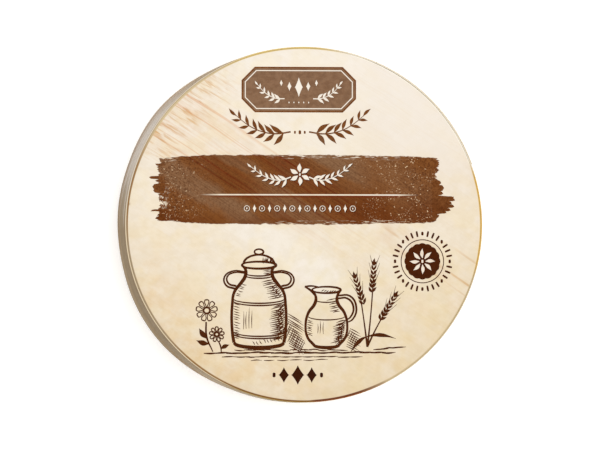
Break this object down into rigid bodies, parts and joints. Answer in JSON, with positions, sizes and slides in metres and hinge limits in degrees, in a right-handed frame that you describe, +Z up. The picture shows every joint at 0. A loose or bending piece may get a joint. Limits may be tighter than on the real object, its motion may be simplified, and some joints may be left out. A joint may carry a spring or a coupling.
{
  "type": "round wooden cheese box",
  "caption": "Shut round box of thin poplar wood for a soft cheese, lying flat: a printed lid in a bent hoop, slipped over the hoop of the base.",
  "frame": {"origin": "middle of the underside, on the surface that the box lies on", "axes": "+Z up through the lid, +Y towards the top of the lid's print, +X to the right of the print"},
  "size_m": [0.175, 0.172, 0.032],
  "materials": {
    "lid_wood": "pale smooth poplar with brown print",
    "hoop_wood": "raw bent poplar veneer",
    "base_wood": "raw poplar, unprinted",
    "staple_wire": "bright flat wire"
  },
  "bodies": {
    "root": {"lid_panel": "lid_wood", "lid_hoop": "hoop_wood", "base_hoop": "hoop_wood", "base_panel": "base_wood", "lid_staple_1": "staple_wire", "lid_staple_2": "staple_wire", "base_staple_1": "staple_wire", "base_staple_2": "staple_wire"}
  },
  "joints": []
}
